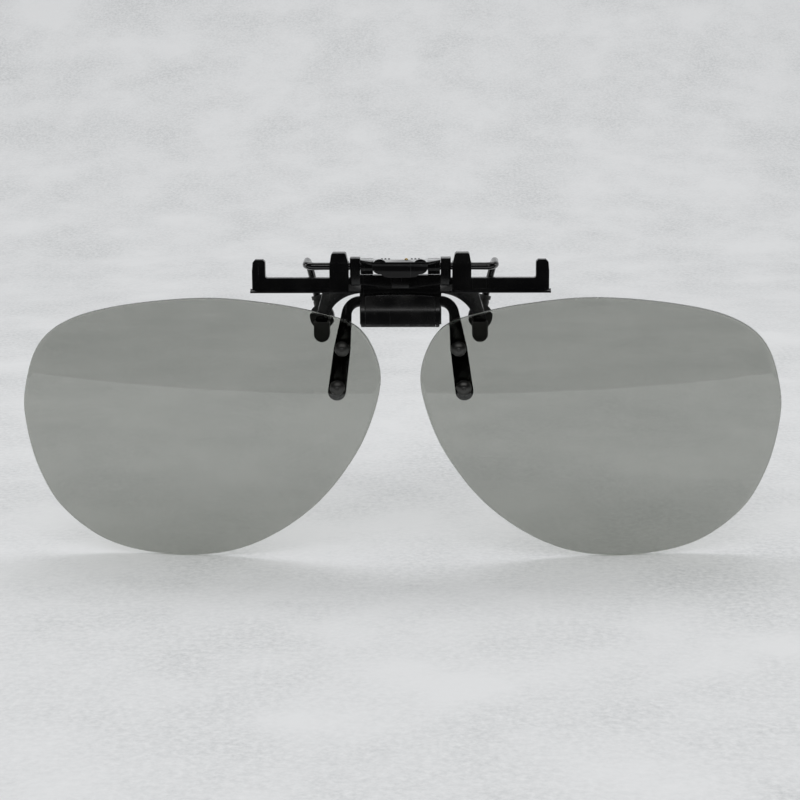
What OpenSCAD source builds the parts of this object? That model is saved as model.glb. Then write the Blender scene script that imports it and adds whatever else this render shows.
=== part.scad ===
// Clip-on flip-up sun lenses: a moulded crossbar with a spring clamp behind it
// and a flip hinge in front of it that carries two rimless tinted lenses.
// Millimetres. X runs to the right, Y towards the wearer, Z up.
// The origin is the middle of the gap in which the clamp grips a spectacle lens.

/* [Crossbar] */
// Half of the crossbar's width
bar_half = 25.8; // [22:0.1:30]
// Front face of the crossbar
bar_front = -4.4; // [-5:0.1:-4]
// Thickness of the crossbar
bar_thick = 1.4; // [1:0.1:2]
// Lower edge of the crossbar
bar_low = 6.55; // [6:0.05:7]
// Height of the crossbar
bar_tall = 2.5; // [2:0.1:3]
// Width of the turned-up end
end_wide = 2.3; // [1.5:0.1:3]
// Top of the turned-up end
end_top = 12.25; // [10:0.05:13]
// How far the lower lip stands out in front
lip_out = 0.7; // [0.3:0.1:1]

/* [Wire supports] */
// Inner side of the bearing block
block_in = 9; // [8.5:0.1:10]
// Outer side of the bearing block
block_out = 12.3; // [11:0.1:13]
// Top of the block's straight part
block_shoulder = 11.75; // [11.5:0.05:12.2]
// Top of the block's cap
block_top = 13.4; // [13:0.1:14]
// Inner side of the ear beside the lever
ear_in = 7; // [7:0.05:7.5]
// Outer side of the ear beside the lever
ear_out = 8.75; // [8:0.05:8.9]
// Top of the ear
ear_top = 12.5; // [12.3:0.1:13]
// Top of the wall between the ears
wall_top = 9.55; // [9:0.05:9.6]

/* [Fixed legs] */
// How far the leg plate leans back, in degrees
leg_lean = 24; // [18:1:28]
// Thickness of the leg plate
leg_thick = 1.2; // [1:0.1:1.6]
// Radius of the arch's shoulders
arch_r = 6.5; // [5:0.1:7]
// Middle of a foot, measured from the mid-plane
foot_x = 13.9; // [13:0.1:15]
// Width of a boot
boot_wide = 2.8; // [2.4:0.1:3.2]
// Lowest point of a boot
boot_low = -2.6; // [-3.5:0.1:-2]
// Rear face of a boot, which meets the spectacle lens
boot_rear = -0.25; // [-0.4:0.05:-0.2]

/* [Clamp] */
// Diameter of the clamp wire
wire_d = 1.28; // [1:0.02:1.5]
// Height of the clamp wire's pivot line
pivot_z = 11; // [10:0.1:12]
// Depth of the clamp wire's pivot line
pivot_y = -3.4; // [-4:0.1:-3]
// Half width of the wire's cross-run, measured to its corner
wire_half = 16.5; // [15:0.1:18]
// Depth of the wire's rear corner
wire_rear = 2.8; // [2:0.1:4]
// How far the wire rises towards its rear corner
wire_rise = 0.35; // [0:0.05:0.6]
// Radius of the wire's bends
wire_bend = 1.6; // [1.2:0.1:2]
// Sideways lean of the wire's drop, in degrees
drop_side = 14; // [10:0.1:15]
// Forward lean of the wire's drop, in degrees
drop_fore = 7.2; // [5:0.1:9]
// Length of the wire's drop
drop_long = 12.2; // [11:0.1:13]
// Width of the soft pad on the wire's end
pad_wide = 4.2; // [3:0.1:5]
// Height of the soft pad
pad_tall = 4.5; // [4:0.1:6]
// Thickness of the soft pad
pad_thick = 1.9; // [1.6:0.1:2.4]
// Running clearance round the wire, on the radius
wire_play = 0.05; // [0.02:0.01:0.1]

/* [Press lever] */
// Half width of the lever
lever_half = 6.95; // [6.5:0.05:6.95]
// Half width of the lever's front tongue
tongue_half = 4.8; // [4.2:0.1:5.5]
// Front face of the tongue
lever_front = -7.4; // [-8:0.1:-7]
// Rear edge of the lever's plate between its knuckles
lever_rear = -4.7; // [-4.9:0.1:-4.7]
// Top of the lever at its rear edge
lever_top = 12.36; // [12.3:0.01:12.5]
// How far the lever's plate pitches down to the front, in degrees
lever_pitch = 2; // [0:1:3]
// Thickness of the lever's plate
lever_thick = 0.5; // [0.4:0.05:0.5]
// Lower edge of the tongue
tongue_low = 10.15; // [10:0.05:10.5]
// Radius of the knuckles that hold the wire
knuckle_r = 1.4; // [1.2:0.05:1.4]

/* [Flip hinge] */
// Depth of the flip axle
axle_y = -6.2; // [-6.5:0.1:-6]
// Height of the flip axle
axle_z = 5.3; // [5.2:0.01:5.4]
// Radius of the flip axle
axle_r = 0.46; // [0.4:0.01:0.48]
// Running clearance round the axle, on the radius
axle_play = 0.05; // [0.02:0.01:0.1]
// Half width of the hinge housing
housing_half = 6.8; // [6:0.1:7]
// Lowest face of the hinge housing
housing_low = 0.9; // [0:0.1:2]
// Thickness of a housing end cap
cap_thick = 0.7; // [0.5:0.1:1]
// Side of the square detent cam
cam_side = 1.3; // [1.2:0.05:1.35]

/* [Lens arms] */
// Radius of the bend where an arm leaves the housing
arm_bend = 2.4; // [2:0.1:3]
// Width of an arm where it leaves the housing
arm_neck = 1.75; // [1.4:0.05:2]
// Outward slant of an arm, in degrees
arm_slant = 7.5; // [5:0.5:10]
// Thickness of an arm
arm_thick = 1; // [0.8:0.1:1.2]
// Width of an arm at the lower rivet
arm_wide = 3.15; // [2.6:0.05:3.4]
// Height of the upper rivet
rivet_high = -2.8; // [-4:0.1:-2]
// Height of the lower rivet
rivet_low = -9.65; // [-11:0.05:-9]
// Distance of the upper rivet from the mid-plane
rivet_x = 10.1; // [9.5:0.1:11]
// Diameter of a rivet's head
head_d = 2.66; // [2.2:0.02:3]
// Radius of a rivet's shank
shank_r = 0.7; // [0.6:0.05:0.8]

/* [Lenses] */
// Radius of the lens's spherical curve
lens_curve = 270; // [200:5:400]
// Thickness of a lens
lens_thick = 0.9; // [0.7:0.1:1.4]
// Rear face of a lens where its arm holds it
lens_back = -7.02; // [-7.1:0.01:-6.9]
// Short straight steps between two knots of the outline
lens_steps = 6; // [3:1:8]

/* [Hidden] */
$fn = 64;
gap = 0.02;
tiny = 0.01;
wire_r = wire_d / 2;
bar_rear = bar_front + bar_thick;
arch_x = 12.9 - arch_r;
arm_front = axle_y - arm_thick / 2;
arm_rear = axle_y + arm_thick / 2;
slant_tan = tan(arm_slant);
rivet_x2 = rivet_x + (rivet_high - rivet_low) * slant_tan;
hold_x = (rivet_x + rivet_x2) / 2;
hold_z = (rivet_high + rivet_low) / 2;
bend_x = 6.92;
bend_z = axle_z - arm_bend;
coil_r = 1.23;
coil_wire = 0.2;
coil_turns = 3;
coil_pitch = 0.68;
coil_x = 1.85;
roof_r = 58;

// The outline of the right lens, seen from the front, clockwise from its top.
lens_knots = [
    [34.3, 5.9],
    [48, 4.5],
    [58.2, 1.7],
    [64.1, -3],
    [66.9, -11],
    [67, -17.5],
    [65, -25.9],
    [60.6, -33.4],
    [51.8, -39.3],
    [39, -41.1],
    [27, -38.9],
    [15.8, -31.7],
    [7.8, -21.5],
    [3.9, -11.5],
    [3.9, -5],
    [7.4, 1],
    [14.5, 3.6],
    [23.5, 5.2],
];

// Which sub-part to draw

// ---------- helpers ----------

// A box between two corners.
module block(low, high) {
    translate(low)
        cube(high - low);
}

// What follows, and the same on the left.
module both() {
    children();
    mirror([1, 0, 0])
        children();
}

// What follows, on the right (1) or on the left (-1).
module on_side(s) {
    if (s > 0)
        children();
    if (s < 0)
        mirror([1, 0, 0])
            children();
}

// A flat shape in X and Z, given depth from y0 to y1.
module slab(y0, y1) {
    translate([0, y1, 0])
        rotate([90, 0, 0])
            linear_extrude(y1 - y0)
                children();
}

// A flat shape in Y and Z, given width from x0 to x1.
module beam(x0, x1) {
    translate([x0, 0, 0])
        rotate([90, 0, 90])
            linear_extrude(x1 - x0)
                children();
}

// A round bar along X.
module bar_x(x0, x1, r) {
    translate([x0, 0, 0])
        rotate([0, 90, 0])
            cylinder(r = r, h = x1 - x0);
}

// A round bar along Y at x and z.
module bar_y(x, z, y0, y1, r) {
    translate([x, y1, z])
        rotate([90, 0, 0])
            cylinder(r = r, h = y1 - y0);
}

// A flat rectangle with its four corners rounded.
module soft_rectangle(low, high, r) {
    translate([low.x + r, low.y])
        square([high.x - low.x - 2 * r, high.y - low.y]);
    translate([low.x, low.y + r])
        square([high.x - low.x, high.y - low.y - 2 * r]);
    for (x = [low.x + r, high.x - r])
        for (y = [low.y + r, high.y - r])
            translate([x, y])
                circle(r);
}

// A point on the smooth curve through four knots, at t from the second to the third.
function along(a, b, c, d, t) =
    0.5 * (2 * b + (c - a) * t + (2 * a - 5 * b + 4 * c - d) * t * t
        + (3 * b - a - 3 * c + d) * t * t * t);

// A closed smooth curve through the knots.
function smooth(k, steps) = [
    for (i = [0 : len(k) - 1])
        for (j = [0 : steps - 1])
            along(
                k[(i + len(k) - 1) % len(k)],
                k[i],
                k[(i + 1) % len(k)],
                k[(i + 2) % len(k)],
                j / steps
            )
];

// ---------- crossbar, supports, legs ----------

// The crossbar's cross-section, with the sloping lip along its lower edge.
module bar_section() {
    polygon([
        [bar_front, bar_low],
        [bar_rear, bar_low],
        [bar_rear, bar_low + bar_tall],
        [bar_front, bar_low + bar_tall],
    ]);
}

module lip_section() {
    polygon([
        [bar_front - lip_out, bar_low],
        [bar_front + 0.1, bar_low],
        [bar_front + 0.1, bar_low + 0.65],
        [bar_front, bar_low + 0.65],
        [bar_front - lip_out, bar_low + 0.25],
    ]);
}

// The lip is taller and slopes more under the ears.
module apron_section() {
    polygon([
        [bar_front - lip_out, bar_low],
        [bar_front + 0.1, bar_low],
        [bar_front + 0.1, bar_low + 1.35],
        [bar_front, bar_low + 1.35],
        [bar_front - lip_out, bar_low + 0.3],
    ]);
}

module turned_up_end() {
    slab(bar_front, bar_rear)
        difference() {
            polygon([
                [bar_half - end_wide - 0.35, bar_low + bar_tall - 0.2],
                [bar_half, bar_low + 0.1],
                [bar_half, end_top - 2],
                [bar_half - 0.15, end_top - 0.45],
                [bar_half - 0.55, end_top],
                [bar_half - end_wide + 0.4, end_top],
                [bar_half - end_wide, end_top - 0.4],
                [bar_half - end_wide, bar_low + bar_tall + 0.35],
                [bar_half - end_wide - 0.35, bar_low + bar_tall + 0.35],
            ]);
            translate([bar_half - end_wide - 0.35, bar_low + bar_tall + 0.35])
                circle(0.35);
        }
}

// A bearing block for the clamp wire, with a narrower cap set back on top.
module bearing_block() {
    block([block_in, -4.9, bar_low + 0.35], [block_out, -1.9, block_shoulder]);
    slab(-4.6, -2.2)
        polygon([
            [block_in + 0.1, block_shoulder - 0.1],
            [block_out - 0.05, block_shoulder - 0.1],
            [block_out - 0.3, block_top - 0.25],
            [block_out - 0.55, block_top],
            [block_in + 0.7, block_top],
            [block_in + 0.45, block_top - 0.2],
        ]);
}

// An ear beside the press lever, with its outer front edge cut to a bevel.
module ear() {
    translate([0, 0, 7.95])
        linear_extrude(ear_top - 7.95)
            polygon([
                [ear_in, -2.1],
                [ear_in, -4.7],
                [ear_out - 0.3, -4.7],
                [ear_out, -4.4],
                [ear_out, -2.1],
            ]);
}

// The plate under the crossbar that forms the arch and both legs.
module leg_plate() {
    difference() {
        slab(0, leg_thick)
            difference() {
                polygon([
                    [-13.5, 0],
                    [13.5, 0],
                    [14.4, -3.4],
                    [15, -5.8],
                    [-15, -5.8],
                    [-14.4, -3.4],
                ]);
                translate([-arch_x, -8])
                    square([2 * arch_x, 7.85]);
                translate([-arch_x - arch_r, -9])
                    square([2 * (arch_x + arch_r), 9 - arch_r - 0.15]);
                for (x = [-arch_x, arch_x])
                    translate([x, -arch_r - 0.15])
                        circle(arch_r);
            }
    }
}

// A post that a boot is pushed onto.
module foot() {
    block([foot_x - 0.9, -1.9, boot_low + 0.8], [foot_x + 0.9, -0.65, 2]);
}

module bridge_frame() {
    color("#161616")
        difference() {
            union() {
                beam(-bar_half, bar_half)
                    bar_section();
                both()
                    beam(ear_in - 0.1, bar_half + 0.3)
                        lip_section();
                both()
                    beam(ear_in - 0.1, block_in)
                        apron_section();
                both()
                    turned_up_end();
                both()
                    bearing_block();
                both()
                    ear();
                block(
                    [-ear_in - 0.1, bar_front, housing_low],
                    [ear_in + 0.1, bar_rear, wall_top]
                );
                block([-1.5, bar_front - 0.4, 7.3], [1.5, bar_front + 0.1, wall_top]);
                translate([0, bar_front, bar_low])
                    rotate([leg_lean, 0, 0])
                        leg_plate();
                both()
                    foot();
            }
            both()
                translate([0, pivot_y, pivot_z])
                    bar_x(ear_in - 1, block_out + 1, wire_r + wire_play);
        }
}

// ---------- soft boots on the fixed legs ----------

module leg_boot(s) {
    half = boot_wide / 2;
    color("#242424")
        on_side(s)
            difference() {
                slab(-2.4, boot_rear) {
                    translate([foot_x - half, boot_low + half])
                        square([boot_wide, 1 - boot_low - half]);
                    translate([foot_x, boot_low + half])
                        circle(half);
                }
                block(
                    [foot_x - 0.9 - gap, -1.9 - gap, boot_low + 0.8 - gap],
                    [foot_x + 0.9 + gap, -0.65 + gap, 3]
                );
            }
}

// ---------- flip hinge housing ----------

// The housing's outside in Y and Z: sloping top, ridge, and an upright front.
housing_outline = [
    [bar_front - gap, 6.46],
    [-5.3, 6.5],
    [-6.4, 6.4],
    [-7.4, 5.55],
    [-8.2, 4.35],
    [-8.5, 3.7],
    [-8.6, 3],
    [-8.6, 1.5],
    [-8.3, 1.1],
    [bar_front - gap, 0.9],
];

// The hollow inside the cover.
module housing_hollow() {
    polygon([
        [bar_front + 1, 6.1],
        [-5, 6.2],
        [-6.4, 6.2],
        [-7.15, 5.4],
        [-7.8, 4.4],
        [-8.1, 3.6],
        [-8.1, 1.6],
        [bar_front + 1, 1.6],
    ]);
}

// A wide arch over the housing, highest in its middle.
module roof(top) {
    bar_y(0, top - roof_r, -10, -2, roof_r, $fn = 360);
}

module hinge_cover() {
    half = housing_half - cap_thick - gap;
    color("#1b1b1c")
        difference() {
            intersection() {
                beam(-half, half)
                    polygon(housing_outline);
                roof(6.47);
            }
            intersection() {
                beam(-half - 1, half + 1)
                    housing_hollow();
                roof(6.25);
            }
        }
}

module housing_cap(s) {
    color("#141414")
        on_side(s)
            difference() {
                intersection() {
                    beam(housing_half - cap_thick, housing_half)
                        polygon(housing_outline);
                    slab(-10, -2)
                        soft_rectangle([0, housing_low], [housing_half, 9], 0.6);
                    roof(6.47);
                }
                translate([0, axle_y, axle_z])
                    bar_x(housing_half - 2, housing_half + 2, axle_r + axle_play);
            }
}

// A hairpin leaf that presses on the flat side of the cam.
module detent_leaf_spring() {
    leaf = 0.22;
    top = axle_z - cam_side / 2 - gap;
    bottom = 1.6 + gap;
    bend = (top - bottom) / 2;
    color("#a8abb0")
        translate([0, -6, 0]) {
            block([-2.4, 0, top - leaf], [2.4, 1.2, top]);
            block([-2.4, 0, bottom], [2.4, 1.2, bottom + leaf]);
            translate([-2.4, 0, bottom + bend])
                rotate([0, 90, 0])
                    rotate([0, 0, 180])
                        rotate_extrude(angle = 180)
                            translate([bend - leaf, 0])
                                square([leaf, 4.8]);
        }
}

// ---------- springs of the clamp ----------

// Three open turns round the wire, joined below, with one leg under the lever
// and one on the wall.
module torsion_spring(s) {
    last = (coil_turns - 1) * coil_pitch;
    color("#b4b6ba")
        on_side(s)
            translate([coil_x, pivot_y, pivot_z]) {
                for (i = [0 : coil_turns - 1])
                    translate([i * coil_pitch, 0, 0])
                        rotate([0, 90, 0])
                            rotate_extrude()
                                translate([coil_r, 0])
                                    circle(coil_wire, $fn = 24);
                translate([0, 0, -coil_r])
                    rotate([0, 90, 0])
                        cylinder(r = 0.14, h = last, $fn = 24);
                translate([0, -1.05, 0.55])
                    rotate([90 + lever_pitch, 0, 0])
                        cylinder(r = 0.17, h = 1.85, $fn = 24);
                translate([last, -0.1, 0.02 - coil_r])
                    rotate([90, 0, 0])
                        cylinder(r = 0.17, h = 0.85, $fn = 24);
            }
}

// ---------- lens bridge: axle and two arms ----------

// The outline of the right arm below its bend.
module arm_outline() {
    start_x = bend_x + arm_bend * cos(arm_slant);
    start_z = bend_z + arm_bend * sin(arm_slant);
    end_x = rivet_x2 + 0.9 * slant_tan;
    end_z = rivet_low - 0.9;
    w0 = arm_neck / 2;
    w1 = 1.45;
    w2 = arm_wide / 2;
    c = cos(arm_slant);
    n = sin(arm_slant);
    lap = 0.05;
    difference() {
        union() {
            polygon([
                [start_x - w0 * c - lap * n, start_z - w0 * n + lap * c],
                [start_x + w0 * c - lap * n, start_z + w0 * n + lap * c],
                [rivet_x + w1 * c, rivet_high + w1 * n],
                [end_x + w2 * c, end_z + w2 * n],
                [end_x - w2 * c, end_z - w2 * n],
                [rivet_x - w1 * c, rivet_high - w1 * n],
            ]);
            translate([end_x, end_z])
                circle(w2);
            intersection() {
                translate([bend_x, bend_z])
                    difference() {
                        circle(arm_bend + arm_neck / 2);
                        circle(arm_bend - arm_neck / 2);
                    }
                polygon([
                    [bend_x, bend_z],
                    [bend_x + 5 * c, bend_z + 5 * n],
                    [bend_x + 5, bend_z + 5],
                    [bend_x, bend_z + 5],
                ]);
            }
            translate([bend_x - 0.08, axle_z - arm_neck / 2])
                square([0.1, arm_neck]);
        }
        translate([rivet_x, rivet_high])
            circle(shank_r + axle_play);
        translate([rivet_x2, rivet_low])
            circle(shank_r + axle_play);
    }
}

module lens_bridge() {
    color("#0f0f10")
        union() {
            translate([0, axle_y, axle_z])
                bar_x(-bend_x - 0.3, bend_x + 0.3, axle_r);
            both()
                slab(arm_front, arm_rear)
                    arm_outline();
        }
}

// A square sleeve on the axle with its corners turned off, for the leaf to press on.
module detent_cam() {
    half = cam_side / 2;
    color("#d8d6cc")
        translate([0, axle_y, axle_z])
            difference() {
                intersection() {
                    block([-2.2, -half, -half], [2.2, half, half]);
                    bar_x(-3, 3, 1.12 * half);
                }
                bar_x(-3, 3, axle_r + tiny);
            }
}

// ---------- lenses and their rivets ----------

module lens(s) {
    centre_y = lens_back + lens_curve;
    color("#6f7470", 0.55)
        on_side(s)
            difference() {
                intersection() {
                    slab(-12, 12)
                        polygon(smooth(lens_knots, lens_steps));
                    translate([hold_x, centre_y, hold_z])
                        sphere(lens_curve + lens_thick, $fn = 360);
                }
                translate([hold_x, centre_y, hold_z])
                    sphere(lens_curve, $fn = 360);
                bar_y(rivet_x, rivet_high, -12, 0, shank_r + axle_play);
                bar_y(rivet_x2, rivet_low, -12, 0, shank_r + axle_play);
            }
}

// A shank with a low dome in front and a smaller dome behind the arm.
module rivet(s, x, z) {
    front = lens_back - lens_thick - gap;
    rear = arm_rear + 0.05;
    color("#5c5f63")
        on_side(s)
            translate([x, 0, z]) {
                bar_y(0, 0, front - 0.1, rear + 0.1, shank_r);
                dome(front, -1, head_d / 2, 0.7);
                dome(rear, 1, 1.1, 0.4);
            }
}

// A low dome on the plane at y, of radius r and height h, facing forward or back.
module dome(y, way, r, h) {
    ball = (r * r + h * h) / (2 * h);
    translate([0, y, 0])
        rotate([way > 0 ? -90 : 90, 0, 0])
            intersection() {
                translate([0, 0, h - ball])
                    sphere(ball);
                cylinder(r = r + 1, h = h + 1);
            }
}

module washer(s, x, z) {
    color("#2c2c2e")
        on_side(s)
            difference() {
                bar_y(x, z, lens_back + 0.07, arm_front - gap, 1.35);
                bar_y(x, z, lens_back - 1, arm_front + 1, shank_r + axle_play);
            }
}

// ---------- clamp wire, its soft tips, the press lever ----------

// From the wire's rear corner, with -Z along the drop.
module at_drop() {
    translate([wire_half, wire_rear, pivot_z + wire_rise])
        rotate([-drop_fore, drop_side, 0])
            children();
}

function unit(v) = v / norm(v);

// A round bend at a corner, from direction u to direction v.
module elbow(corner, u, v, bend, r) {
    turn = acos(u * v);
    n = unit(v - (u * v) * u);
    start = corner - bend * tan(turn / 2) * u;
    centre = start + bend * n;
    w = cross(-n, u);
    multmatrix([
        [-n.x, u.x, w.x, centre.x],
        [-n.y, u.y, w.y, centre.y],
        [-n.z, u.z, w.z, centre.z],
        [0, 0, 0, 1],
    ])
        rotate_extrude(angle = turn)
            translate([bend, 0])
                circle(r, $fn = 48);
}

module clamp_wire() {
    drop = [
        -cos(drop_fore) * sin(drop_side),
        -sin(drop_fore),
        -cos(drop_fore) * cos(drop_side),
    ];
    front = [wire_half, pivot_y, pivot_z];
    rear = [wire_half, wire_rear, pivot_z + wire_rise];
    back = unit(rear - front);
    lead = wire_bend * tan(acos(back * drop) / 2);
    lap = 0.04;
    bend_r = wire_r + 0.003;
    straight = wire_half - wire_bend + lap;
    run = norm(rear - front) - wire_bend - lead + 2 * lap;
    color("#101011")
        union() {
            translate([0, pivot_y, pivot_z])
                bar_x(-straight, straight, wire_r);
            both() {
                elbow(front, [1, 0, 0], back, wire_bend, bend_r);
                translate(front + (wire_bend - lap) * back)
                    rotate([asin(back.z) - 90, 0, 0])
                        cylinder(r = wire_r, h = run);
                elbow(rear, back, drop, wire_bend, bend_r);
                at_drop()
                    translate([0, 0, -drop_long])
                        cylinder(r = wire_r, h = drop_long - lead + lap);
            }
        }
}

// An oval pad with a grooved collar, pushed onto the wire's end.
module wire_tip(s) {
    half = pad_wide / 2;
    middle = 10.4;
    color("#2b2b2c")
        on_side(s)
            at_drop()
                difference() {
                    union() {
                        translate([0, 0, -middle])
                            slab(-pad_thick / 2, pad_thick / 2) {
                                translate([-half, half - pad_tall / 2])
                                    square([pad_wide, pad_tall - pad_wide]);
                                for (z = [half - pad_tall / 2, pad_tall / 2 - half])
                                    translate([0, z])
                                        circle(half);
                            }
                        translate([0, 0, -middle])
                            cylinder(r = pad_thick / 2 - 0.01, h = 2.9);
                        translate([0, 0, -middle + 3.15])
                            cylinder(r = pad_thick / 2 + 0.1, h = 0.7);
                        translate([0, 0, -middle])
                            cylinder(r = pad_thick / 2 - 0.1, h = 3.6);
                    }
                    translate([0, 0, -drop_long - gap])
                        cylinder(r = wire_r + tiny, h = drop_long);
                }
}

// The lever's plate seen from above, cut back between its knuckles for the springs.
module lever_plan() {
    polygon([
        [-lever_half, -3.9],
        [-lever_half, -5.2],
        [-tongue_half - 0.3, lever_front + 0.2],
        [-tongue_half, lever_front],
        [tongue_half, lever_front],
        [tongue_half + 0.3, lever_front + 0.2],
        [lever_half, -5.2],
        [lever_half, -3.9],
        [4.5, -3.9],
        [4.5, lever_rear],
        [-4.5, lever_rear],
        [-4.5, -3.9],
    ]);
}

// The tongue seen from the front, with a lip bowed down in its middle.
module tongue_face(top) {
    round = 1.3;
    deep = tongue_low - 0.6;
    translate([-tongue_half, tongue_low + round])
        square([2 * tongue_half, top - tongue_low - round]);
    translate([-tongue_half + round, tongue_low])
        square([2 * (tongue_half - round), round + 0.1]);
    for (x = [round - tongue_half, tongue_half - round])
        translate([x, tongue_low + round])
            circle(round);
    polygon([
        [-3.4, tongue_low + 0.1],
        [-2.7, deep + 0.14],
        [-1.6, deep],
        [1.6, deep],
        [2.7, deep + 0.14],
        [3.4, tongue_low + 0.1],
    ]);
}

module press_lever() {
    front_top = lever_top - (lever_rear - lever_front) * sin(lever_pitch);
    color("#58595b")
        difference() {
            union() {
                translate([0, lever_rear, lever_top])
                    rotate([lever_pitch, 0, 0])
                        translate([0, -lever_rear, -lever_thick]) {
                            linear_extrude(lever_thick)
                                lever_plan();
                            translate([1.05, lever_rear - 0.42, lever_thick - 0.05])
                                sphere(0.33, $fn = 24);
                        }
                slab(lever_front + 0.06, lever_front + 0.7)
                    tongue_face(front_top - 0.12);
                both()
                    translate([0, pivot_y, pivot_z])
                        bar_x(4.75, lever_half - 0.06, knuckle_r);
            }
            translate([0, pivot_y, pivot_z])
                bar_x(-9, 9, wire_r + tiny);
        }
}

// ---------- what is drawn ----------

bridge_frame();
hinge_cover();
housing_cap(-1);  // housing_cap_left
housing_cap(1);  // housing_cap_right
detent_leaf_spring();
leg_boot(-1);  // leg_boot_left
leg_boot(1);  // leg_boot_right
torsion_spring(-1);  // torsion_spring_left
torsion_spring(1);  // torsion_spring_right
lens_bridge();
detent_cam();
lens(-1);  // lens_left
lens(1);  // lens_right
rivet(-1, rivet_x, rivet_high);  // rivet_upper_left
rivet(-1, rivet_x2, rivet_low);  // rivet_lower_left
rivet(1, rivet_x, rivet_high);  // rivet_upper_right
rivet(1, rivet_x2, rivet_low);  // rivet_lower_right
washer(-1, rivet_x, rivet_high);  // washer_upper_left
washer(-1, rivet_x2, rivet_low);  // washer_lower_left
washer(1, rivet_x, rivet_high);  // washer_upper_right
washer(1, rivet_x2, rivet_low);  // washer_lower_right
clamp_wire();
wire_tip(-1);  // wire_tip_left
wire_tip(1);  // wire_tip_right
press_lever();
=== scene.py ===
"""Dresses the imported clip-on sun lenses: finishes, soft edges, lenses, rivets and springs."""

import logging
import math
from collections.abc import Iterable, Sequence
from dataclasses import dataclass
from enum import Enum

import bmesh
import bpy
from mathutils import Matrix, Vector
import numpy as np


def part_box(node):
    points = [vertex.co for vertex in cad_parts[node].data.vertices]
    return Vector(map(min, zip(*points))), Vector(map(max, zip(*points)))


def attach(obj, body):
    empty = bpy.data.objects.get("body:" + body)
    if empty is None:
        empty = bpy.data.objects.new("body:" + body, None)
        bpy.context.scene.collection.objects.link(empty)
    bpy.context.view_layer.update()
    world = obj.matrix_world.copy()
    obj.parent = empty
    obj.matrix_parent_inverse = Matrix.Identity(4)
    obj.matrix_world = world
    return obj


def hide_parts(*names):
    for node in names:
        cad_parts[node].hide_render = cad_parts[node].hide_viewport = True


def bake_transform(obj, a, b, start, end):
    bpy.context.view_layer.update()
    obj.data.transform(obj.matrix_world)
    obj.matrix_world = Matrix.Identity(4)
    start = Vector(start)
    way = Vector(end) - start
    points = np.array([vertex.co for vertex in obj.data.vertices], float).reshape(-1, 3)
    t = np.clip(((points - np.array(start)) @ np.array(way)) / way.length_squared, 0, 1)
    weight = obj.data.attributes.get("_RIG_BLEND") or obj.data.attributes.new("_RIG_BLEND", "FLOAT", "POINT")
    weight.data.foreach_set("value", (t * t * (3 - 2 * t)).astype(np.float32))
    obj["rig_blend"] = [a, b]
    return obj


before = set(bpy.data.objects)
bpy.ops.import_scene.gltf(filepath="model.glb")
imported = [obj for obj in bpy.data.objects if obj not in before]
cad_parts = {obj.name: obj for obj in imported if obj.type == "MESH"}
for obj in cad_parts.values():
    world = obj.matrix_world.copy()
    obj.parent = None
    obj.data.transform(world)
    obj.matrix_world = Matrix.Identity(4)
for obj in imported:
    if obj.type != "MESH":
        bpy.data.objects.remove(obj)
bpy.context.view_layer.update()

LOG = logging.getLogger("clip_on")
MM = 0.001
LEVELS = ("upper", "lower")

Colour = tuple[float, float, float]
Place = tuple[float, float, float]

DUST_COLOUR: Colour = (0.34, 0.33, 0.31)
DUST_ON_GLASS: Colour = (0.62, 0.62, 0.6)
GRAIN_SHADE = 0.55
DARK_WORLD: Colour = (0.004, 0.004, 0.004)
LIT_WORLD: Colour = (0.62, 0.625, 0.63)


class Side(Enum):
    """Which half of the clip a piece is on."""

    LEFT = -1
    RIGHT = 1

    @property
    def word(self) -> str:
        """The side's name as the nodes spell it."""
        return self.name.lower()


class Body(Enum):
    """The three moving groups of the clip."""

    CLIP = "clip"
    CARRIER = "lens_carrier"
    JAW = "clamp_jaw"


# ---------------------------------------------------------------- materials


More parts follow.
